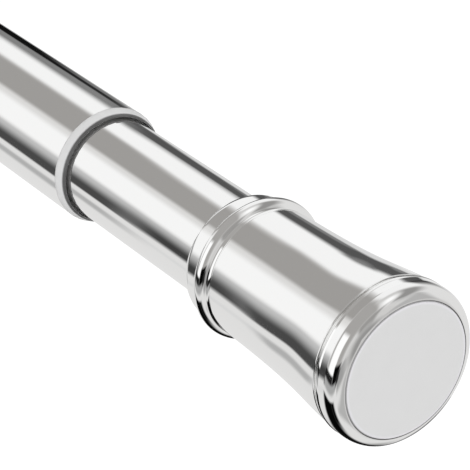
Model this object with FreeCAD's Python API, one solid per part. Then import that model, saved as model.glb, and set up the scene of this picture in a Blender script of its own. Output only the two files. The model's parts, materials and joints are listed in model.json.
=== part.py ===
import FreeCAD, Part
import math
import os
from FreeCAD import Vector

# A telescoping shower curtain rod that is held between two walls by its own push.
# Millimetres. The rod's axis is X, with the far wall at X = 0 and +Z up. It is drawn as
# it is shown, nearly pushed together, with the thin tube and its end cap at the +X end.
# To fit it, the thin tube is pulled out and twisted. A wedge nut first grips the wide
# tube's bore, and its thread then pushes the thin tube out against the wall, through a
# spring that keeps the push steady.

# Lengths that set the rod's reach. The lock's tail keeps clear of the far plug when shut.
shut_length = 1067.0
travel_in = 32.0
shown_tube = 45.85
least_overlap = 100.0
lock_room = 27.0
rod_length = shut_length + travel_in

# The two tubes, and the space all round between them
outer_radius = 12.7
outer_wall = 0.7
inner_wall = 0.6
tube_clearance = 0.9
outer_bore = outer_radius - outer_wall
inner_radius = outer_bore - tube_clearance
inner_bore = inner_radius - inner_wall

# Gaps between pieces: a running fit, a pressed or glued seat, and free space
running_gap = 0.05
seat_gap = 0.05
free_gap = 0.2

# End cap, from the wall inwards. Each rise is a height above the tube that it is on.
cap_length = 50.65
pad_rise = 2.42
pad_thickness = 3.0
pad_edge_round = 0.4
pad_gap = 0.1
rim_setback = 0.2
rim_face_rise = 2.85
rim_fullness = 0.35
lip_front = 0.8
lip_front_rise = 3.83
lip_front_turn = 57.0
lip_fullness = 0.7
lip_crest = 3.4
lip_crest_fullness = 1.5
lip_rise = 4.86
band_rise = 4.81
band_end = 5.0
ridge_rise = 4.9
ridge_crest = 5.5
ridge_end = 5.68
groove_rise = 4.0
groove_end = 6.45
flare_rise = 4.64
flare_start = 6.75
flare_edge = 0.24
flare_run = 10.8
flare_fall = 0.9
neck_lift = 0.47
neck_rise = 2.23
neck_end = 42.1
undercut_rise = 2.0
undercut_fall = 0.18
undercut_end = 42.45
bead_foot_rise = 2.35
bead_rise = 3.46
bead_crest = 45.2
bead_round = 1.96
bead_turn = 58.0
bead_back_round = 1.5
end_band_rise = 2.2
end_edge_width = 1.2
end_edge_drop = 0.35
cap_wall = 1.6
cap_web = 2.0

# Plugs in the tubes' wall ends, and the wall pads' stems in them
plug_flange = 3.0
plug_spigot = 24.0
plug_lead = 1.0
plug_core = 3.0
stem_radius = 4.0
stem_length = 11.0
stem_barb = 0.3

# Collar in the wide tube's mouth
nose_length = 2.5
nose_base_radius = outer_radius - 0.1
nose_rim_radius = inner_radius + 0.7
nose_rim_width = 0.2
nose_recess = 3.0
collar_sleeve = 22.0

# Plug in the thin tube's inner end, that drives the spindle and slides on it
drive_flange = 4.0
drive_spigot = 26.0
crimp_start = 12.0
crimp_width = 4.0
crimp_depth = 0.6

# Spindle: a hexagon bar, a grooved collar for the guide ring, and the feed thread
hexagon_flats = 7.0
collar_radius = outer_bore - 2.4
collar_width = 7.8
collar_groove_radius = collar_radius - 2.2
collar_groove_width = 3.8
thread_radius = 4.0
thread_feed = 16.0
thread_shoulder = 3.0
end_thread_radius = 3.0
end_thread_length = 8.0
nut_flats = 10.0
nut_height = 5.0
washer_radius = inner_bore - 1.5
washer_thickness = 1.2

# Spring between the spindle's collar and the drive plug
spring_length = 26.0
spring_push = 12.0
spring_wire = 1.8
spring_radius = outer_bore - 4.8
spring_turns = 6.5

# Wedge nut and the split sleeve that it spreads
finger_count = 4
sleeve_length = 35.0
sleeve_radius = outer_bore - free_gap
sleeve_wall = 1.0
wedge_length = 18.0
wedge_travel = 1.5
wedge_angle = 10.0
wedge_rim_length = 4.0
wedge_rim_radius = sleeve_radius - sleeve_wall - free_gap
wedge_cone_radius = wedge_rim_radius - 1.0
wedge_nose_length = 1.5
wedge_seat_gap = 0.1
key_width = 2.2
key_radius = sleeve_radius - 0.4
key_length = 10.0
key_side_gap = 0.1
hook_width = 1.2
hook_reach = 1.8
slot_end_margin = 10.0
grip_groove_count = 3
grip_groove_width = 0.8
grip_groove_depth = 0.35
grip_groove_pitch = 3.0
drag_ring_section = 0.85
drag_ring_inset = 4.0

# Clip on the spindle's tail that keeps the nut on the thread
clip_radius = 6.2
clip_groove_radius = 3.2
clip_thickness = 1.0
clip_margin = 2.0
clip_mouth = 4.6

# Places along X that follow from the sizes above
rim_x = rod_length - cap_length - shown_tube
mouth_x = rim_x - nose_length
tube_stop = pad_thickness + plug_flange
lock_front = drive_flange + spring_length + washer_thickness + collar_width + thread_shoulder
lock_length = lock_front + wedge_length + thread_feed + clip_thickness + 2 * clip_margin
inner_end_x = tube_stop + plug_spigot + lock_room + travel_in + lock_length
travel_out = mouth_x - least_overlap - thread_feed - inner_end_x
drive_face_x = inner_end_x - drive_flange
spring_face_x = drive_face_x - spring_length
collar_x = spring_face_x - washer_thickness - collar_width
nut_face_x = collar_x - thread_shoulder
nut_tail_x = nut_face_x - wedge_length
sleeve_front_x = nut_face_x + running_gap + hook_width
sleeve_tail_x = sleeve_front_x - sleeve_length
clip_x = nut_tail_x - thread_feed - clip_margin - clip_thickness
spindle_tail_x = clip_x - clip_margin

X_AXIS = Vector(1, 0, 0)


class Outline:
    """Half of a section, drawn as distances along the axis and radii, to be turned."""

    def __init__(self, x, radius):
        self.start = Vector(x, 0, radius)
        self.here = self.start
        self.edges = []

    def line(self, x, radius):
        end = Vector(x, 0, radius)
        if end.distanceToPoint(self.here) > 1e-6:
            self.edges.append(Part.makeLine(self.here, end))
        self.here = end
        return self

    def lines(self, *points):
        for x, radius in points:
            self.line(x, radius)
        return self

    def arc(self, through, end):
        middle = Vector(through[0], 0, through[1])
        stop = Vector(end[0], 0, end[1])
        self.edges.append(Part.Arc(self.here, middle, stop).toShape())
        self.here = stop
        return self

    def curve(self, *points):
        poles = [self.here] + [Vector(x, 0, radius) for x, radius in points]
        bezier = Part.BezierCurve()
        bezier.setPoles(poles)
        self.edges.append(bezier.toShape())
        self.here = poles[-1]
        return self

    def turned(self):
        self.line(self.start.x, self.start.z)
        face = Part.Face(Part.Wire(self.edges))
        return face.revolve(Vector(0, 0, 0), X_AXIS, 360)


def tube(start, end, bore, radius):
    """A plain ring or tube round the axis."""
    section = Outline(start, bore)
    section.lines((start, radius), (end, radius), (end, bore))
    return section.turned()


def hexagon(start, length, flats):
    """A hexagonal bar along the axis."""
    corner = flats / 2 / math.cos(math.pi / 6)
    turns = [math.pi / 3 * i for i in range(7)]
    points = [Vector(start, corner * math.cos(a), corner * math.sin(a)) for a in turns]
    return Part.Face(Part.makePolygon(points)).extrude(Vector(length, 0, 0))


def at_near_end(shape):
    """Turns a piece that was drawn for the far wall round to face the near one."""
    placed = shape.copy()
    placed.rotate(Vector(0, 0, 0), Vector(0, 0, 1), 180)
    placed.translate(Vector(rod_length, 0, 0))
    return placed


def seat_radius(tube_radius):
    """The recess in a cap's front that holds the pad and the plug's flange."""
    return tube_radius + pad_rise + pad_gap


def end_cap(tube_radius):
    """The plated cap: a rolled lip, a band, a thin ridge, a flared body and a beaded neck."""
    seat = seat_radius(tube_radius)
    lip = tube_radius + lip_rise
    band = tube_radius + band_rise
    ridge = tube_radius + ridge_rise
    groove = tube_radius + groove_rise
    flare = tube_radius + flare_rise
    neck = tube_radius + neck_rise
    undercut = tube_radius + undercut_rise
    bead = tube_radius + bead_rise
    end_band = tube_radius + end_band_rise
    bore = tube_radius + seat_gap
    flare_x = flare_start + flare_run
    web_back = tube_stop + cap_web
    hollow_end = neck_end - cap_wall

    section = Outline(rim_setback, seat)
    turn = math.radians(lip_front_turn)
    front = tube_radius + lip_front_rise
    section.curve(
        (rim_setback, tube_radius + rim_face_rise),
        (lip_front - rim_fullness * math.cos(turn), front - rim_fullness * math.sin(turn)),
        (lip_front, front),
    )
    section.curve(
        (lip_front + lip_fullness * math.cos(turn), front + lip_fullness * math.sin(turn)),
        (lip_crest - lip_crest_fullness, lip),
        (lip_crest, lip),
    )
    section.line(band_end, band)
    section.curve(((band_end + ridge_crest) / 2, ridge), (ridge_crest, ridge))
    section.curve((ridge_end, ridge), (ridge_end, band))
    section.line(ridge_end, groove)
    section.line(groove_end, groove)
    section.line(groove_end, flare - flare_edge)
    section.curve((groove_end, flare), (flare_start, flare))
    section.curve((flare_x, flare - flare_fall), (flare_x, neck + neck_lift), (neck_end, neck))
    fall_x = neck_end + undercut_fall
    section.curve((fall_x, neck), (fall_x, undercut), (undercut_end, undercut))
    turn = math.radians(bead_turn)
    side_x = bead_crest - bead_round * math.sin(turn)
    side = bead - bead_round * (1 - math.cos(turn))
    foot = tube_radius + bead_foot_rise
    foot_x = side_x - (side - foot) / math.tan(turn)
    section.curve((foot_x - (foot - undercut) / math.tan(turn), undercut), (foot_x, foot))
    section.line(side_x, side)
    section.arc(
        (bead_crest - bead_round * math.sin(turn / 2), bead - bead_round * (1 - math.cos(turn / 2))),
        (bead_crest, bead),
    )
    back_turn = math.acos(1 - (bead - end_band) / bead_back_round)
    section.arc(
        (bead_crest + bead_back_round * math.sin(back_turn / 2),
         bead - bead_back_round * (1 - math.cos(back_turn / 2))),
        (bead_crest + bead_back_round * math.sin(back_turn), end_band),
    )
    edge_x = cap_length - end_edge_width
    section.line(edge_x, end_band)
    section.curve((edge_x + end_edge_width / 2, end_band), (cap_length, end_band - end_edge_drop))
    section.line(cap_length, bore)
    section.line(hollow_end, bore)
    section.line(hollow_end, neck - cap_wall)
    section.curve(
        (flare_x, neck - cap_wall + neck_lift),
        (flare_x, flare - cap_wall - flare_fall),
        (web_back, flare - cap_wall),
    )
    section.line(web_back, bore)
    section.line(tube_stop, bore)
    section.line(tube_stop, seat)
    return section.turned()


def tube_plug(tube_radius, tube_wall):
    """The moulded plug in a tube's wall end: its flange lies in the cap, behind the pad."""
    flange = seat_radius(tube_radius) - seat_gap
    spigot = tube_radius - tube_wall - seat_gap
    tail = tube_stop + plug_spigot
    hollow = stem_radius + seat_gap
    floor = pad_thickness + stem_length + plug_core

    section = Outline(pad_thickness, hollow)
    section.line(pad_thickness, flange)
    section.line(tube_stop, flange)
    section.line(tube_stop, spigot)
    section.line(tail - plug_lead, spigot)
    section.line(tail, spigot - plug_lead)
    section.line(tail, spigot - plug_core)
    section.line(floor, spigot - plug_core)
    section.line(floor, 0)
    section.line(floor - plug_core + seat_gap, 0)
    section.line(floor - plug_core + seat_gap, hollow)
    return section.turned()


def wall_pad(tube_radius):
    """The soft pad that meets the wall, with the barbed stem that holds it in the plug."""
    radius = tube_radius + pad_rise
    stem_end = pad_thickness + stem_length
    barb = stem_radius - stem_barb

    section = Outline(0, 0)
    section.line(0, radius - pad_edge_round)
    corner = pad_edge_round * (1 - math.sqrt(0.5))
    section.arc((corner, radius - corner), (pad_edge_round, radius))
    section.line(pad_thickness, radius)
    section.line(pad_thickness, barb)
    section.line(stem_end - stem_radius, barb)
    section.line(stem_end - stem_radius, stem_radius)
    section.line(stem_end, barb - stem_barb)
    section.line(stem_end, 0)
    return section.turned()


def outer_tube():
    """The wide tube, from the far plug's flange to its mouth."""
    return tube(tube_stop, mouth_x, outer_bore, outer_radius)


def mouth_collar():
    """The pale collar in the wide tube's mouth that guides the thin tube."""
    guide = inner_radius + running_gap
    recess = nose_rim_radius - nose_rim_width
    section = Outline(mouth_x - collar_sleeve, guide)
    section.line(mouth_x - collar_sleeve, outer_bore - seat_gap)
    section.line(mouth_x, outer_bore - seat_gap)
    section.line(mouth_x, nose_base_radius)
    section.line(rim_x, nose_rim_radius)
    section.line(rim_x, recess)
    section.line(rim_x - nose_recess, recess)
    section.line(rim_x - nose_recess, guide)
    return section.turned()


def inner_tube():
    """The thin tube, crimped into the drive plug's groove at its inner end."""
    wall_end = rod_length - tube_stop
    crimp_x = inner_end_x + crimp_start
    crimp_middle = crimp_x + crimp_width / 2
    crimp_end = crimp_x + crimp_width
    dent = crimp_depth
    section = Outline(inner_end_x, inner_bore)
    section.line(inner_end_x, inner_radius)
    section.line(crimp_x, inner_radius)
    section.arc((crimp_middle, inner_radius - dent), (crimp_end, inner_radius))
    section.line(wall_end, inner_radius)
    section.line(wall_end, inner_bore)
    section.line(crimp_end, inner_bore)
    section.arc((crimp_middle, inner_bore - dent), (crimp_x, inner_bore))
    return section.turned()


def drive_plug():
    """The plug that the crimp holds, with a hexagon bore in which the spindle slides."""
    spigot = inner_bore - seat_gap
    tail = inner_end_x + drive_spigot
    groove_x = inner_end_x + crimp_start - seat_gap
    groove_end_x = inner_end_x + crimp_start + crimp_width + seat_gap
    groove = spigot - crimp_depth - seat_gap
    section = Outline(drive_face_x, 0)
    section.line(drive_face_x, outer_bore - running_gap)
    section.line(inner_end_x, outer_bore - running_gap)
    section.line(inner_end_x, spigot)
    section.line(groove_x, spigot)
    section.arc(((groove_x + groove_end_x) / 2, groove), (groove_end_x, spigot))
    section.line(tail - plug_lead, spigot)
    section.line(tail, spigot - plug_lead)
    section.line(tail, 0)
    bore = hexagon(drive_face_x, drive_flange + drive_spigot, hexagon_flats + 2 * running_gap)
    return section.turned().cut(bore)


def feed_spindle():
    """The steel spindle: thread and clip groove, grooved collar, hexagon and end thread."""
    collar_end_x = collar_x + collar_width
    side = (collar_width - collar_groove_width) / 2
    bar_end_x = inner_end_x + drive_spigot
    point = 1.0

    turned = Outline(spindle_tail_x, 0)
    turned.line(spindle_tail_x, thread_radius - point)
    turned.line(spindle_tail_x + point, thread_radius)
    turned.line(clip_x, thread_radius)
    turned.line(clip_x, clip_groove_radius)
    turned.line(clip_x + clip_thickness, clip_groove_radius)
    turned.line(clip_x + clip_thickness, thread_radius)
    turned.line(collar_x, thread_radius)
    turned.line(collar_x, collar_radius)
    turned.line(collar_x + side, collar_radius)
    turned.line(collar_x + side, collar_groove_radius)
    turned.line(collar_end_x - side, collar_groove_radius)
    turned.line(collar_end_x - side, collar_radius)
    turned.line(collar_end_x, collar_radius)
    turned.line(collar_end_x, 0)

    bar = hexagon(collar_end_x, bar_end_x - collar_end_x, hexagon_flats)
    end_thread = tube(bar_end_x, bar_end_x + end_thread_length, 0, end_thread_radius)
    return turned.turned().fuse([bar, end_thread]).removeSplitter()


def guide_ring():
    """The split ring in the collar's groove: it slides in the bore and doesn't turn."""
    side = (collar_width - collar_groove_width) / 2
    web_start = collar_x + side + running_gap
    web_end = collar_x + collar_width - side - running_gap
    shoe = collar_radius + free_gap
    rim = outer_bore - running_gap
    section = Outline(web_start, collar_groove_radius + running_gap)
    section.line(web_start, shoe)
    section.line(collar_x, shoe)
    section.line(collar_x, rim)
    section.line(collar_x + collar_width, rim)
    section.line(collar_x + collar_width, shoe)
    section.line(web_end, shoe)
    section.line(web_end, collar_groove_radius + running_gap)
    split = Part.makeBox(collar_width, key_width, outer_radius)
    split.translate(Vector(collar_x, -key_width / 2, 0))
    return section.turned().cut(split)


def cone_radius(x):
    """The wedge nut's radius on its cone, which narrows towards the far wall."""
    cone_x = nut_face_x - wedge_rim_length
    return wedge_cone_radius + (x - cone_x) * math.tan(math.radians(wedge_angle))


def round_the_axis(shape, count):
    """Copies of a shape, evenly spaced round the axis."""
    copies = []
    for i in range(count):
        turned = shape.copy()
        turned.rotate(Vector(0, 0, 0), X_AXIS, 360 / count * i)
        copies.append(turned)
    return copies


def wedge_nut():
    """The threaded cone that spreads the sleeve, with a key for each of its slots."""
    cone_x = nut_face_x - wedge_rim_length
    nose_x = nut_tail_x + wedge_nose_length
    section = Outline(nut_tail_x, thread_radius + running_gap)
    section.line(nut_tail_x, cone_radius(nose_x))
    section.line(nose_x, cone_radius(nose_x))
    section.line(cone_x, wedge_cone_radius)
    section.line(cone_x, wedge_rim_radius)
    section.line(nut_face_x, wedge_rim_radius)
    section.line(nut_face_x, thread_radius + running_gap)

    key_foot = (thread_radius + wedge_cone_radius) / 2
    key = Part.makeBox(key_length, key_width, key_radius - key_foot)
    key.translate(Vector(cone_x - key_length, -key_width / 2, key_foot))
    return section.turned().fuse(round_the_axis(key, finger_count)).removeSplitter()


def grip_sleeve():
    """The split sleeve: hooked fingers round the wedge nut, and a drag ring's groove."""
    hook_x = sleeve_front_x - hook_width
    ledge_x = nut_face_x - wedge_rim_length - wedge_travel - wedge_seat_gap
    bore_x = nut_tail_x - wedge_travel - wedge_seat_gap
    recess = sleeve_radius - sleeve_wall
    spread = wedge_seat_gap / math.cos(math.radians(wedge_angle))
    ledge = cone_radius(ledge_x + wedge_travel) + spread
    bore = cone_radius(bore_x + wedge_travel + wedge_nose_length) + spread
    ring_x = sleeve_tail_x + drag_ring_inset
    ring_floor = outer_bore - running_gap - 2 * drag_ring_section - running_gap

    section = Outline(sleeve_tail_x, bore)
    section.line(sleeve_tail_x, sleeve_radius)
    section.line(ring_x - drag_ring_section - running_gap, sleeve_radius)
    section.line(ring_x - drag_ring_section - running_gap, ring_floor)
    section.line(ring_x + drag_ring_section + running_gap, ring_floor)
    section.line(ring_x + drag_ring_section + running_gap, sleeve_radius)
    section.line(sleeve_front_x, sleeve_radius)
    section.line(sleeve_front_x, sleeve_radius - hook_reach)
    section.line(hook_x, sleeve_radius - hook_reach)
    section.line(hook_x, recess)
    section.line(ledge_x, recess)
    section.line(ledge_x, ledge)
    section.line(bore_x + wedge_nose_length, bore)
    sleeve = section.turned()

    slot_x = sleeve_tail_x + slot_end_margin
    slot_width = key_width + 2 * key_side_gap
    slot = Part.makeBox(sleeve_front_x - slot_x, slot_width, outer_radius)
    slot.translate(Vector(slot_x, -slot_width / 2, 0))
    sleeve = sleeve.cut(round_the_axis(slot, finger_count))

    grooves = []
    for i in range(grip_groove_count):
        groove_x = ledge_x - grip_groove_pitch * (i + 1)
        floor = sleeve_radius - grip_groove_depth
        grooves.append(tube(groove_x, groove_x + grip_groove_width, floor, outer_radius))
    return sleeve.cut(grooves)


def drag_ring():
    """The rubber ring that rubs in the bore, so that the sleeve doesn't spin."""
    radius = outer_bore - running_gap - drag_ring_section
    centre = Vector(sleeve_tail_x + drag_ring_inset, 0, 0)
    return Part.makeTorus(radius, drag_ring_section, centre, X_AXIS)


def tail_clip():
    """The open clip in the spindle's last groove."""
    ring = tube(clip_x, clip_x + clip_thickness, clip_groove_radius + seat_gap, clip_radius)
    mouth = Part.makeBox(clip_thickness, clip_mouth, clip_radius)
    mouth.translate(Vector(clip_x, -clip_mouth / 2, 0))
    return ring.cut(mouth)


def washer(face_x):
    """A plain washer on the hexagon bar or the end thread, with its face at face_x."""
    corner = hexagon_flats / 2 / math.cos(math.pi / 6)
    return tube(face_x, face_x + washer_thickness, corner + seat_gap, washer_radius)


def retaining_washer():
    """The washer that the spring draws against the drive plug's inner end."""
    face_x = inner_end_x + drive_spigot
    bore = end_thread_radius + seat_gap
    return tube(face_x, face_x + washer_thickness, bore, washer_radius)


def retaining_nut():
    """The hexagon nut on the spindle's end, with its corners turned down."""
    face_x = inner_end_x + drive_spigot + washer_thickness
    blank = hexagon(face_x, nut_height, nut_flats)
    corner = nut_flats / 2 / math.cos(math.pi / 6)
    chamfer = Outline(face_x, 0)
    chamfer.line(face_x, corner)
    chamfer.line(face_x + nut_height - (corner - nut_flats / 2), corner)
    chamfer.line(face_x + nut_height, nut_flats / 2)
    chamfer.line(face_x + nut_height, 0)
    bore = tube(face_x, face_x + nut_height, 0, end_thread_radius + seat_gap)
    return blank.common(chamfer.turned()).cut(bore)


def tension_spring():
    """The compression spring that pushes the thin tube out from the spindle's collar."""
    coil_length = spring_length - spring_wire - 2 * seat_gap
    pitch = coil_length / spring_turns
    helix = Part.makeHelix(pitch, coil_length, spring_radius)
    wire_section = Part.makeCircle(spring_wire / 2, Vector(spring_radius, 0, 0), Vector(0, 1, 0))
    spring = Part.Wire(helix).makePipeShell([Part.Wire(wire_section)], True, True)
    spring.rotate(Vector(0, 0, 0), Vector(0, 1, 0), 90)
    spring.translate(Vector(spring_face_x + spring_wire / 2 + seat_gap, 0, 0))
    return spring


def all_pieces():
    """Every separate piece of the rod by name, from the far wall to the near one."""
    return {
        "far_wall_pad": wall_pad(outer_radius),
        "far_end_cap": end_cap(outer_radius),
        "far_tube_plug": tube_plug(outer_radius, outer_wall),
        "outer_tube": outer_tube(),
        "mouth_collar": mouth_collar(),
        "grip_sleeve": grip_sleeve(),
        "drag_ring": drag_ring(),
        "wedge_nut": wedge_nut(),
        "guide_ring": guide_ring(),
        "feed_spindle": feed_spindle(),
        "tail_clip": tail_clip(),
        "spring_washer": washer(spring_face_x - washer_thickness),
        "tension_spring": tension_spring(),
        "retaining_washer": retaining_washer(),
        "retaining_nut": retaining_nut(),
        "drive_plug": drive_plug(),
        "inner_tube": inner_tube(),
        "near_tube_plug": at_near_end(tube_plug(inner_radius, inner_wall)),
        "near_end_cap": at_near_end(end_cap(inner_radius)),
        "near_wall_pad": at_near_end(wall_pad(inner_radius)),
    }


os.makedirs("parts", exist_ok=True)
for name, shape in all_pieces().items():
    shape.exportStep("parts/" + name + ".step")
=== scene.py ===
import json
import math

import bpy
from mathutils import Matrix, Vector


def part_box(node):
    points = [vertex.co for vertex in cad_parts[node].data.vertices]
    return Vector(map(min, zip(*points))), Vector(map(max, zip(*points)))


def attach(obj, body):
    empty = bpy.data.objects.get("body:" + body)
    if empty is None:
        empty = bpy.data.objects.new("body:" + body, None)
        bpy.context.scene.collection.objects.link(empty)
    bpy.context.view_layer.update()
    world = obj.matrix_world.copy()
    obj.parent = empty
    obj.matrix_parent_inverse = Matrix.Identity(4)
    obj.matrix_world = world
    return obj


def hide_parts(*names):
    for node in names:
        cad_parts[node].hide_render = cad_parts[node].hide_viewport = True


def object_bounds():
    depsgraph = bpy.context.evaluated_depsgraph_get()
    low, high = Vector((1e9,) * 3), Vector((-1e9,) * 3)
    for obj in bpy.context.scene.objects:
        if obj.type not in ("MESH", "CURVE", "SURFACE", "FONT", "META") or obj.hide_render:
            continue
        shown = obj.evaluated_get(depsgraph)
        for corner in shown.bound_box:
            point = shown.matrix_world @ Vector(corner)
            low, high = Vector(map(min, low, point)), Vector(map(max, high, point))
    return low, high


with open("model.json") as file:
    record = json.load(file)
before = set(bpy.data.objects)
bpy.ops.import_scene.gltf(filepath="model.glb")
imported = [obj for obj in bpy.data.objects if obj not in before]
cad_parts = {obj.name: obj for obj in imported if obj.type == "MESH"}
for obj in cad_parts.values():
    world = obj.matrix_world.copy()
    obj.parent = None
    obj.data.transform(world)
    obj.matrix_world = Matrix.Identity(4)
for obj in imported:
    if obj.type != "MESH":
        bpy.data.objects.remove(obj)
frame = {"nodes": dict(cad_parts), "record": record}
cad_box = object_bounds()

# The photograph's camera: it looks down at the near wall pad from the front right, level
view_azimuth = math.radians(55.03)
view_elevation = math.radians(28.30)
pad_right_of_view = 0.030323
pad_below_view = 0.023966
pad_ahead = 0.404369
camera_sensor = 36.0
camera_lens = 175.95
camera_sees_to = 50.0
# The turn about the rod, from level, of the side that faces the camera
facing_turn = math.radians(43.2)

# The studio: a pale floor well under the rod, in a plain even light with two soft lamps
floor_drop = 0.5
floor_size = 30.0
floor_grey = 0.9
floor_mottle = 1.02
floor_lift = 0.25
even_light = 0.80
lamp_softness = math.radians(50)
# name, where it stands as seen from the rod, light that it adds on what faces it
lamps = [
    ("key_lamp", (0.45, -0.85, 0.12), 0.24),
    ("fill_lamp", (0.60, 0.60, 0.50), 0.14),
]

# End cap, from the wall inwards, in millimetres. Each rise is a height above the tube.
near_tube_radius = 11.1
far_tube_radius = 12.7
cap_length = 50.65
seat_rise = 2.52
seat_gap = 0.05
tube_stop = 6.0
rim_setback = 0.2
rim_face_rise = 2.85
rim_fullness = 0.35
lip_front = 0.8
lip_front_rise = 3.83
lip_front_turn = math.radians(57)
lip_fullness = 0.7
lip_crest = 3.4
lip_crest_fullness = 1.5
lip_rise = 4.86
band_rise = 4.81
band_end = 5.0
ridge_rise = 4.9
ridge_crest = 5.5
ridge_end = 5.68
groove_rise = 4.0
groove_end = 6.45
flare_rise = 4.64
flare_start = 6.75
flare_edge = 0.24
flare_run = 10.8
flare_fall = 0.9
neck_lift = 0.47
neck_rise = 2.23
neck_end = 42.1
undercut_rise = 2.0
undercut_fall = 0.18
undercut_end = 42.45
bead_foot_rise = 2.35
bead_rise = 3.46
bead_crest = 45.2
bead_round = 1.96
bead_turn = math.radians(58)
bead_back_round = 1.5
end_band_rise = 2.2
end_edge_width = 1.2
end_edge_drop = 0.35
cap_wall = 1.6
cap_web = 2.0
cap_facets = 288

# The lock's thread, in metres, up to the spindle's collar
thread_pitch = 0.002
thread_end = 0.128

# Where a finish changes over a piece, in metres: the distances from the rod's axis between
# which the collar turns from its grey recess to a dark ring of painted shade at its edge and from that to
# its pale cone, the widths of the pad's edge that is painted paler as a highlight, and the depths at which
# painted shade down its side begins
collar_recess = (0.01160, 0.01164)
collar_cone = (0.01195, 0.01210)
pad_highlight_edge = (0.0008, 0.0004)
pad_side_shade = (0.00002, 0.00012)

white = (1, 1, 1, 1)
chrome_reflects = 0.93
chrome_colour = (chrome_reflects, chrome_reflects, 0.925, 1)


def make_camera():
    """Puts the camera where the photograph was taken from."""
    pad_centre = Vector((cad_box[1][0], 0, 0))
    across = Vector((math.cos(view_azimuth), math.sin(view_azimuth), 0))
    back = Vector((
        math.sin(view_azimuth) * math.cos(view_elevation),
        -math.cos(view_azimuth) * math.cos(view_elevation),
        math.sin(view_elevation),
    ))
    up = back.cross(across)
    data = bpy.data.cameras.new("photo_camera")
    data.sensor_width = camera_sensor
    data.lens = camera_lens
    data.clip_end = camera_sees_to
    camera = bpy.data.objects.new("photo_camera", data)
    camera.location = pad_centre - across * pad_right_of_view + up * pad_below_view + back * pad_ahead
    camera.rotation_euler = (math.pi / 2 - view_elevation, 0, view_azimuth)
    bpy.context.scene.collection.objects.link(camera)
    bpy.context.scene.camera = camera


class Nodes:
    """A node tree, with a short call for each kind of node that the finishes use."""

    def __init__(self, tree):
        self.tree = tree

    def add(self, kind, **settings):
        node = self.tree.nodes.new("ShaderNode" + kind)
        for name, value in settings.items():
            setattr(node, name, value)
        return node

    def join(self, source, socket):
        if isinstance(source, bpy.types.NodeSocket):
            self.tree.links.new(source, socket)
        else:
            socket.default_value = source

    def math(self, operation, first, second=0.0):
        node = self.add("Math", operation=operation)
        self.join(first, node.inputs[0])
        self.join(second, node.inputs[1])
        return node.outputs[0]

    def ramp(self, value, low, high, from_value=0.0, to_value=1.0):
        """Runs smoothly from from_value to to_value while value goes from low to high."""
        node = self.add("MapRange", interpolation_type="SMOOTHSTEP")
        self.join(value, node.inputs["Value"])
        node.inputs["From Min"].default_value = low
        node.inputs["From Max"].default_value = high
        node.inputs["To Min"].default_value = from_value
        node.inputs["To Max"].default_value = to_value
        return node.outputs["Result"]

    def mix(self, factor, first, second):
        node = self.add("Mix", data_type="RGBA")
        self.join(factor, node.inputs["Factor"])
        self.join(first, node.inputs["A"])
        self.join(second, node.inputs["B"])
        return node.outputs["Result"]


def light_of(grey, warmth):
    """The light that gives polished chrome this 0 to 255 grey in the picture."""
    shown = grey / 255
    linear = ((shown + 0.055) / 1.055) ** 2.4 / chrome_reflects
    return (linear, linear * (1 - warmth / 2), linear * (1 - warmth), 1)


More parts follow.
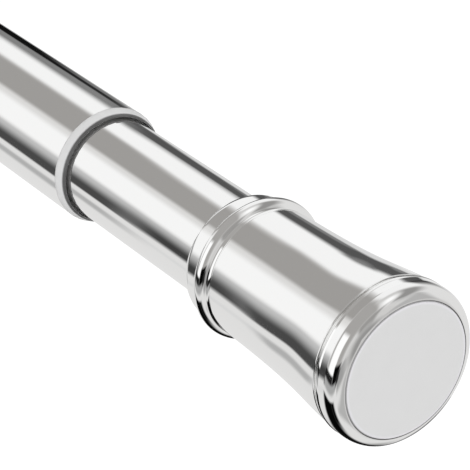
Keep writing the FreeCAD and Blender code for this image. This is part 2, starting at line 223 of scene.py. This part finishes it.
# What stands round the rod and shows in its chrome, laid over each other in this order.
# Swing is the angle about the rod, 0 on the camera's side, level, and 90 straight up.
# Reach is the angle from the rod's near end. Each edge fades over the degrees after it.
# (lowest swing, fade, highest swing, fade), (least reach, fade, most reach, fade), grey, warmth
surroundings = [
    # A pale wall, greyer beyond the near end
    ((-137, 1, 224, 1), (0, 1, 181, 1), 221, 0.01),
    ((-137, 1, 224, 1), (0, 1, 34, 16), 204, 0.02),
    ((-137, 1, 224, 1), (0, 1, 15, 14), 148, 0.02),
    # Soft panels that give the far end its stripes
    ((-105, 20, -66, 14), (20, 16, 54, 10), 176, 0.01),
    ((-50, 12, -8, 18), (20, 16, 44, 8), 156, 0.01),
    ((50, 14, 103, 18), (16, 16, 50, 10), 152, 0.04),
    ((150, 14, 190, 12), (20, 16, 54, 10), 178, 0.01),
    # The wall's greyer side away from the camera
    ((186, 20, 224, 1), (0, 1, 60, 20), 197, 0.02),
    ((-137, 1, -108, 20), (0, 1, 60, 20), 197, 0.02),
    # What the tubes and the cap's flare show at the near end, from below to above
    ((-53, 8, -44, 6), (129, 4, 134.5, 2), 208, 0.0),
    ((-54, 6, -47, 6), (134.5, 2, 138.5, 2), 214, 0.0),
    ((-63, 11, -49, 8), (138.5, 2, 181, 1), 174, 0.0),
    ((-34.5, 5, 4, 12), (129, 4, 181, 1), 190, 0.0),
    ((-34.5, 5, -12, 22), (129, 4, 134.4, 2), 69, 0.0),
    ((-31.5, 8, -9, 24), (134.2, 2, 138.7, 2), 61, 0.0),
    ((-36, 5, -12, 22), (138.4, 2, 181, 1), 71, 0.0),
    ((4, 12, 80, 8), (127, 4, 181, 1), 245, 0.0),
    ((103, 18, 160, 8), (129, 4, 181, 1), 243, 0.0),
    ((45, 14, 103, 18), (129, 4, 181, 1), 218, 0.02),
    ((57, 10, 103, 18), (129, 4, 181, 1), 157, 0.06),
    ((80, 18, 108, 14), (129, 4, 134, 2), 157, 0.06),
    ((80, 18, 107, 18), (138.7, 2, 181, 1), 157, 0.06),
    ((153, 13, 187, 12), (129, 4, 134.5, 1.5), 82, 0.0),
    ((154, 13, 187, 12), (134, 1.5, 140, 1), 82, 0.0),
    ((152.5, 13, 187, 12), (139.6, 1, 181, 1), 82, 0.0),
    ((187, 12, 212, 20), (129, 4, 181, 1), 210, 0.0),
    ((186, 8, 212, 20), (129, 4, 134.5, 2), 229, 0.0),
    ((195, 20, 216, 20), (134.5, 1, 137, 1), 210, 0.0),
    ((180, 6, 192, 10), (138.5, 2, 181, 1), 84, 0.0),
    ((155, 8, 186, 8), (140, 1.5, 181, 1), 128, 0.0),
    ((172, 5, 186, 6), (140, 1.5, 181, 1), 40, 0.0),
    ((186, 7, 204, 8), (140, 1.5, 181, 1), 120, 0.0),
    ((172.5, 6, 206, 10), (141.9, 2, 181, 1), 16, 0.0),
    ((204.5, 8, 216, 20), (141.5, 2, 181, 1), 185, 0.0),
    ((176, 8, 184, 10), (135.2, 0.8, 136.8, 1), 125, 0.0),
    # What the cap's lip, ridge and bead show as well
    ((-10, 10, 92, 14), (46, 34, 129, 4), 164, 0.05),
    ((88, 12, 124, 12), (50, 26, 108, 10), 202, 0.02),
    ((-12, 7, 39, 8), (85, 9, 123, 6), 255, 0.0),
    ((97, 12, 150, 10), (106, 14, 130, 4), 241, 0.0),
    ((119, 14, 146, 20), (38, 16, 100, 18), 146, 0.03),
    ((93, 20, 114, 20), (55, 20, 86, 24), 255, 0.0),
    ((151, 14, 186, 26), (119, 26, 132, 4), 52, 0.0),
    ((-34, 8, -20, 6), (50, 10, 130, 6), 165, 0.0),
    ((-22, 6, 2, 6), (43, 16, 88, 8), 5, 0.0),
    ((-31, 8, -9, 8), (37, 12, 56, 14), 40, 0.0),
    ((-22, 5, -11, 4), (88, 6, 134, 6), 32, 0.0),
    ((-80, 30, -43, 5), (73, 16, 96, 10), 12, 0.0),
    ((-116, 14, -43, 5), (88, 20, 130, 5), 6, 0.0),
    ((-136, 10, -95, 18), (102, 18, 131, 6), 20, 0.0),
]


def make_world():
    """A white backdrop, even light, and the studio's panels on a pale wall for what is polished."""
    world = bpy.data.worlds.new("studio")
    bpy.context.scene.world = world
    world.use_nodes = True
    nodes = Nodes(world.node_tree)
    background = world.node_tree.nodes["Background"]
    direction = nodes.add("TexCoord").outputs["Generated"]

    def along(axis):
        node = nodes.add("VectorMath", operation="DOT_PRODUCT")
        nodes.join(direction, node.inputs[0])
        node.inputs[1].default_value = axis
        return node.outputs["Value"]

    toward = along((0, -math.cos(facing_turn), math.sin(facing_turn)))
    upward = along((0, math.sin(facing_turn), math.cos(facing_turn)))
    turn = nodes.math("ARCTAN2", upward, toward)
    swing = nodes.math("ADD", nodes.math("DEGREES", turn), math.degrees(facing_turn))
    reach = nodes.math("DEGREES", nodes.math("ARCCOSINE", along((1, 0, 0))))

    panels = white
    for swing_edges, reach_edges, grey, warmth in surroundings:
        inside = 1.0
        for angle, (low, low_fade, high, high_fade) in ((swing, swing_edges), (reach, reach_edges)):
            rise = nodes.ramp(angle, low - low_fade / 2, low + low_fade / 2)
            fall = nodes.ramp(angle, high - high_fade / 2, high + high_fade / 2, 1.0, 0.0)
            inside = nodes.math("MULTIPLY", nodes.math("MULTIPLY", rise, fall), inside)
        panels = nodes.mix(inside, panels, light_of(grey, warmth))
    ray = nodes.add("LightPath").outputs
    lit = nodes.mix(ray["Is Glossy Ray"], (even_light, even_light, even_light, 1), panels)
    seen = nodes.math("MAXIMUM", ray["Is Camera Ray"], ray["Is Transmission Ray"])
    nodes.join(nodes.mix(seen, lit, white), background.inputs["Color"])


def make_lamps():
    """Soft lamps. What they stand behind shows in the chrome as the panels, so they don't."""
    for name, place, light in lamps:
        data = bpy.data.lights.new(name, "SUN")
        data.angle = lamp_softness
        data.energy = light * math.pi
        lamp = bpy.data.objects.new(name, data)
        lamp.rotation_euler = Vector(place).to_track_quat("Z", "Y").to_euler()
        lamp.visible_glossy = False
        bpy.context.scene.collection.objects.link(lamp)


class Finish(Nodes):
    """A material of one finish. Its grain is laid out in metres on the part itself."""

    def __init__(self, name, **sockets):
        self.material = bpy.data.materials.new(name)
        self.material.use_nodes = True
        super().__init__(self.material.node_tree)
        self.shader = self.tree.nodes["Principled BSDF"]
        self.place = self.add("TexCoord").outputs["Object"]
        for socket, value in sockets.items():
            self.set(socket.replace("_", " "), value)

    def set(self, socket, value):
        self.join(value, self.shader.inputs[socket])

    def grain(self, size, stretch=(1, 1, 1), detail=2.0):
        """Cloudy marks about size metres across, drawn out by stretch along each axis."""
        scaled = self.add("VectorMath", operation="MULTIPLY")
        self.join(self.place, scaled.inputs[0])
        scaled.inputs[1].default_value = [1 / (size * along) for along in stretch]
        noise = self.add("TexNoise")
        self.join(scaled.outputs["Vector"], noise.inputs["Vector"])
        noise.inputs["Scale"].default_value = 1.0
        noise.inputs["Detail"].default_value = detail
        return noise.outputs["Fac"]

    def out_from_axis(self):
        """Distance from the rod's axis."""
        flat = self.add("VectorMath", operation="MULTIPLY")
        self.join(self.place, flat.inputs[0])
        flat.inputs[1].default_value = (0, 1, 1)
        length = self.add("VectorMath", operation="LENGTH")
        self.join(flat.outputs["Vector"], length.inputs[0])
        return length.outputs["Value"]

    def relief(self, height, depth):
        """Raises the surface by depth metres where height is 1."""
        bump = self.add("Bump")
        bump.inputs["Strength"].default_value = 1.0
        bump.inputs["Distance"].default_value = depth
        self.join(height, bump.inputs["Height"])
        self.set("Normal", bump.outputs["Normal"])


def tone(grey, tint=(1, 1, 1)):
    return (grey * tint[0], grey * tint[1], grey * tint[2], 1)


def chrome(name, draw):
    """Bright chrome plate: a wiped film, faint polishing lines drawn out by draw, and scuffs."""
    finish = Finish(name, Metallic=1.0, Base_Color=chrome_colour)
    film = finish.ramp(finish.grain(0.018, detail=3), 0.4, 0.7, 0.030, 0.055)
    lines = finish.grain(0.0003, draw)
    scuffs = finish.ramp(finish.grain(0.0008, draw, 4), 0.66, 0.74, 0.0, 0.03)
    dull = finish.math("ADD", film, scuffs)
    finish.set("Roughness", finish.math("ADD", dull, finish.ramp(lines, 0.3, 0.7, 0.0, 0.015)))
    finish.relief(lines, 0.0000002)
    return finish.material


def soft_pad(name, front_x, radius):
    """Matt soft pad: fine grain, a painted highlight that makes the edge of its face paler and bluer, and
    painted shade down its side.
    """
    finish = Finish(name, Specular_IOR_Level=0.3)
    cloud = finish.grain(0.004, detail=4)
    face = finish.mix(cloud, tone(0.71), tone(0.73))
    # Painted highlight: the outer edge of the pad's face is painted paler and bluer, where its rounded
    # edge catches the light.
    edge_highlight = finish.ramp(finish.out_from_axis(), radius - pad_highlight_edge[0], radius - pad_highlight_edge[1])
    face = finish.mix(edge_highlight, face, tone(0.79, (0.98, 0.97, 1.0)))
    # Painted shade: a little behind its face, the pad's side is painted dark for the shade in its joint
    # with the cap.
    along = finish.add("SeparateXYZ")
    finish.join(finish.place, along.inputs[0])
    depth = finish.math("ABSOLUTE", finish.math("SUBTRACT", along.outputs["X"], front_x))
    side = finish.ramp(depth, *pad_side_shade)
    finish.set("Base Color", finish.mix(side, face, tone(0.38, (0.99, 0.98, 1.0))))
    pores = finish.grain(0.00035, detail=3)
    finish.set("Roughness", finish.ramp(pores, 0.3, 0.7, 0.55, 0.72))
    finish.relief(pores, 0.000012)
    return finish.material


def milky_collar(name):
    """Milky moulded plastic with fine turning marks, a grey recess, and a dark ring of painted shade at
    its edge.
    """
    finish = Finish(name, Subsurface_Weight=0.15, Subsurface_Radius=(1, 1, 1), Subsurface_Scale=0.001)
    cloud = finish.grain(0.0025, detail=4)
    pale = finish.mix(cloud, tone(0.68), tone(0.76))
    from_axis = finish.out_from_axis()
    # Painted shade: just outside the grey recess, a dark ring is painted round the bore for the shade at
    # the collar's front edge.
    edge = finish.mix(finish.ramp(from_axis, *collar_recess), tone(0.62), tone(0.10))
    finish.set("Base Color", finish.mix(finish.ramp(from_axis, *collar_cone), edge, pale))
    marks = finish.grain(0.00025, (1, 20, 20))
    finish.set("Roughness", finish.ramp(marks, 0.3, 0.7, 0.32, 0.45))
    finish.relief(marks, 0.000003)
    return finish.material


def nylon(name, dark, light, flow):
    """Moulded nylon, mottled along the melt's flow, with an eroded tool's matt grain."""
    finish = Finish(name, Subsurface_Weight=0.1, Subsurface_Radius=(1, 1, 1), Subsurface_Scale=0.001)
    finish.set("Base Color", finish.mix(finish.grain(0.0015, flow, 4), dark, light))
    pores = finish.grain(0.0002, detail=3)
    finish.set("Roughness", finish.ramp(pores, 0.3, 0.7, 0.42, 0.62))
    finish.relief(pores, 0.000008)
    return finish.material


def metal(name, dark, light, size, stretch, roughness, depth):
    """Bare or plated metal whose marks have this size, drawn out by stretch."""
    finish = Finish(name, Metallic=1.0)
    marks = finish.grain(size, stretch, 4)
    patches = finish.grain(0.004, detail=4)
    finish.set("Base Color", finish.mix(patches, dark, light))
    finish.set("Roughness", finish.ramp(marks, 0.25, 0.75, *roughness))
    finish.relief(marks, depth)
    return finish.material


def threaded_steel(name, dark, light):
    """Plated steel with a rolled thread round the spindle's tail."""
    finish = Finish(name, Metallic=1.0)
    finish.set("Base Color", finish.mix(finish.grain(0.004, detail=4), dark, light))
    marks = finish.grain(0.00015, around, 4)
    finish.set("Roughness", finish.ramp(marks, 0.25, 0.75, 0.22, 0.38))
    place = finish.add("SeparateXYZ")
    finish.join(finish.place, place.inputs[0])
    angle = finish.math("ARCTAN2", place.outputs["Z"], place.outputs["Y"])
    turns = finish.math("DIVIDE", place.outputs["X"], thread_pitch)
    turns = finish.math("SUBTRACT", turns, finish.math("DIVIDE", angle, 2 * math.pi))
    flanks = finish.math("PINGPONG", turns, 0.5)
    on_tail = finish.ramp(place.outputs["X"], thread_end, thread_end + thread_pitch / 2, 1.0, 0.0)
    finish.relief(finish.math("MULTIPLY", flanks, on_tail), thread_pitch)
    return finish.material


def black_rubber(name):
    """Moulded black rubber, dusty grey where it rubs."""
    finish = Finish(name, Specular_IOR_Level=0.35)
    dust = finish.ramp(finish.grain(0.0012, detail=5), 0.45, 0.75)
    finish.set("Base Color", finish.mix(dust, tone(0.022), tone(0.055)))
    pores = finish.grain(0.00025, detail=3)
    finish.set("Roughness", finish.ramp(pores, 0.3, 0.7, 0.6, 0.8))
    finish.relief(pores, 0.00001)
    return finish.material


lengthwise = (60, 1, 1)
around = (1, 30, 30)
steel_tones = tone(0.60, (1, 1, 0.95)), tone(0.70, (1, 1, 0.98))
finishes = {
    "tube_chrome": chrome("tube_chrome", lengthwise),
    "cap_chrome": chrome("cap_chrome", (4, 4, 4)),
    "collar_plastic": milky_collar("collar_plastic"),
    "white_nylon": nylon("white_nylon", tone(0.80, (1, 1, 0.95)), tone(0.84, (1, 1, 0.97)), (3, 1, 1)),
    "grey_nylon": nylon("grey_nylon", tone(0.27, (0.97, 1, 1.03)), tone(0.34, (0.97, 1, 1.03)), (6, 1, 1)),
    "cast_zinc": metal(
        "cast_zinc", tone(0.54, (0.98, 1, 1.03)), tone(0.64, (0.98, 1, 1.03)),
        0.0006, (1, 1, 1), (0.35, 0.55), 0.00003,
    ),
    "black_rubber": black_rubber("black_rubber"),
    "plated_steel": metal("plated_steel", *steel_tones, 0.00015, around, (0.22, 0.38), 0.000006),
    "spring_steel": metal(
        "spring_steel", tone(0.40, (0.98, 1, 1.04)), tone(0.50, (0.98, 1, 1.04)),
        0.00012, (1, 8, 8), (0.26, 0.44), 0.000005,
    ),
}


def dress():
    """Gives each part the finish of its slot. Each wall pad has its own, made to its size."""
    rod_middle = cad_box[1][0] / 2
    for row in frame["record"]["subparts"]:
        name, slot = row["node"], row["material_slot"]
        mesh = frame["nodes"][name].data
        mesh.materials.clear()
        if slot == "pad_rubber":
            low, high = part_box(name)
            front_x = low.x if low.x < rod_middle else high.x
            mesh.materials.append(soft_pad(name + "_rubber", front_x, high.z))
        elif name == "feed_spindle":
            mesh.materials.append(threaded_steel("spindle_steel", *steel_tones))
        else:
            mesh.materials.append(finishes[slot])


class Section:
    """Half of a turned piece's section, as runs of points with the slope at each."""

    def __init__(self, x, rise):
        self.here = Vector((x, rise))
        self.runs = []

    def curve(self, *poles, steps=12):
        """A curve from here to the last pole, pulled towards those between."""
        poles = [self.here] + [Vector(pole) for pole in poles]
        run = []
        for step in range(steps + 1):
            share = step / steps
            inner = poles
            while len(inner) > 2:
                inner = [a.lerp(b, share) for a, b in zip(inner, inner[1:])]
            run.append((inner[0].lerp(inner[1], share), (inner[1] - inner[0]).normalized()))
        self.runs.append(run)
        self.here = poles[-1]

    def line(self, x, rise):
        self.curve((x, rise), steps=1)

    def bow(self, end, start_slope, end_slope, radius, steps=16):
        """A round arc. The slopes are the angles at which it sets out and ends."""
        pull = radius * 4 / 3 * math.tan(abs(end_slope - start_slope) / 4)
        end = Vector(end)
        first = self.here + pull * Vector((math.cos(start_slope), math.sin(start_slope)))
        last = end - pull * Vector((math.cos(end_slope), math.sin(end_slope)))
        self.curve(first, last, end, steps=steps)

    def turned(self, name, tube_radius, place, facets):
        """The piece that the section makes. place puts a distance from the wall and a radius."""
        turns = [2 * math.pi * k / facets for k in range(facets)]
        ring = [(math.cos(turn), math.sin(turn)) for turn in turns]
        verts, faces, normals = [], [], []
        for run in self.runs:
            for point, _ in run[:-1]:
                verts += [place(point[0], tube_radius + point[1], c, s) for c, s in ring]
        rings = len(verts) // facets
        level = 0
        for run in self.runs:
            for (point, slope), (next_point, next_slope) in zip(run, run[1:]):
                low = level * facets
                high = (level + 1) % rings * facets
                for k in range(facets):
                    after = (k + 1) % facets
                    faces.append((low + k, low + after, high + after, high + k))
                    for at, corner in ((slope, k), (slope, after), (next_slope, after), (next_slope, k)):
                        normals.append(place(-at[1], at[0], *ring[corner], direction=True))
                level += 1
        mesh = bpy.data.meshes.new(name)
        mesh.from_pydata(verts, [], faces)
        mesh.validate()
        mesh.polygons.foreach_set("use_smooth", [True] * len(mesh.polygons))
        mesh.normals_split_custom_set(normals)
        piece = bpy.data.objects.new(name, mesh)
        bpy.context.scene.collection.objects.link(piece)
        return piece


def cap_section():
    """The plated cap: a rolled lip, a band, a thin ridge, a flared body and a beaded neck."""
    section = Section(rim_setback, seat_rise)
    lean = Vector((math.cos(lip_front_turn), math.sin(lip_front_turn)))
    front = Vector((lip_front, lip_front_rise))
    section.curve((rim_setback, rim_face_rise), front - rim_fullness * lean, front)
    crest_pull = (lip_crest - lip_crest_fullness, lip_rise)
    section.curve(front + lip_fullness * lean, crest_pull, (lip_crest, lip_rise), steps=24)
    section.line(band_end, band_rise)
    section.curve(((band_end + ridge_crest) / 2, ridge_rise), (ridge_crest, ridge_rise), steps=8)
    section.curve((ridge_end, ridge_rise), (ridge_end, band_rise), steps=8)
    section.line(ridge_end, groove_rise)
    section.line(groove_end, groove_rise)
    section.line(groove_end, flare_rise - flare_edge)
    section.curve((groove_end, flare_rise), (flare_start, flare_rise), steps=8)
    flare_x = flare_start + flare_run
    waist = (flare_x, neck_rise + neck_lift)
    section.curve((flare_x, flare_rise - flare_fall), waist, (neck_end, neck_rise), steps=40)
    fall_x = neck_end + undercut_fall
    section.curve((fall_x, neck_rise), (fall_x, undercut_rise), (undercut_end, undercut_rise))

    side_x = bead_crest - bead_round * math.sin(bead_turn)
    side_rise = bead_rise - bead_round * (1 - math.cos(bead_turn))
    flank = 1 / math.tan(bead_turn)
    foot_x = side_x - (side_rise - bead_foot_rise) * flank
    bend_x = foot_x - (bead_foot_rise - undercut_rise) * flank
    section.curve((bend_x, undercut_rise), (foot_x, bead_foot_rise), steps=8)
    section.line(side_x, side_rise)
    section.bow((bead_crest, bead_rise), bead_turn, 0, bead_round)
    back_turn = math.acos(1 - (bead_rise - end_band_rise) / bead_back_round)
    back_x = bead_crest + bead_back_round * math.sin(back_turn)
    section.bow((back_x, end_band_rise), 0, -back_turn, bead_back_round)
    edge_x = cap_length - end_edge_width
    section.line(edge_x, end_band_rise)
    edge_end = (cap_length, end_band_rise - end_edge_drop)
    section.curve((edge_x + end_edge_width / 2, end_band_rise), edge_end, steps=8)

    web_back = tube_stop + cap_web
    hollow_end = neck_end - cap_wall
    section.line(cap_length, seat_gap)
    section.line(hollow_end, seat_gap)
    section.line(hollow_end, neck_rise - cap_wall)
    section.curve(
        (flare_x, neck_rise - cap_wall + neck_lift),
        (flare_x, flare_rise - cap_wall - flare_fall),
        (web_back, flare_rise - cap_wall),
    )
    section.line(web_back, seat_gap)
    section.line(tube_stop, seat_gap)
    section.line(tube_stop, seat_rise)
    section.line(rim_setback, seat_rise)
    return section


def make_cap(node, body, tube_radius, wall_x, inwards):
    """A cap turned finely enough for its plate to mirror without facets."""

    def place(along, out, c, s, direction=False):
        base = 0 if direction else wall_x * 1000
        return ((base + inwards * along) / 1000, out * c / 1000, inwards * out * s / 1000)

    piece = cap_section().turned(node + "_plated", tube_radius, place, cap_facets)
    piece.data.materials.append(finishes["cap_chrome"])
    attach(piece, body)
    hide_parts(node)


def make_floor():
    """A pale floor. It is white to the camera, and what is polished sees the panels past it."""
    half = floor_size / 2
    mesh = bpy.data.meshes.new("studio_floor")
    corners = [(-half, -half, 0), (half, -half, 0), (half, half, 0), (-half, half, 0)]
    mesh.from_pydata(corners, [], [(0, 1, 2, 3)])
    floor = bpy.data.objects.new("studio_floor", mesh)
    floor.location = (cad_box[1][0] / 2, 0, -floor_drop)
    floor.visible_glossy = False
    bpy.context.scene.collection.objects.link(floor)
    finish = Finish("studio_floor", Specular_IOR_Level=0.0, Emission_Color=white)
    cloud = finish.grain(0.05, detail=4)
    finish.set("Base Color", finish.mix(cloud, tone(floor_grey), tone(floor_grey * floor_mottle)))
    finish.set("Roughness", finish.ramp(cloud, 0.3, 0.7, 0.7, 0.9))
    camera_ray = finish.add("LightPath").outputs["Is Camera Ray"]
    finish.set("Emission Strength", finish.math("MULTIPLY", camera_ray, floor_lift))
    mesh.materials.append(finish.material)


dress()
make_cap("near_end_cap", "inner_tube", near_tube_radius, cad_box[1][0], -1)
make_cap("far_end_cap", "outer_tube", far_tube_radius, cad_box[0][0], 1)
make_floor()
make_camera()
make_lamps()
make_world()

bpy.context.scene.view_settings.view_transform = "Standard"
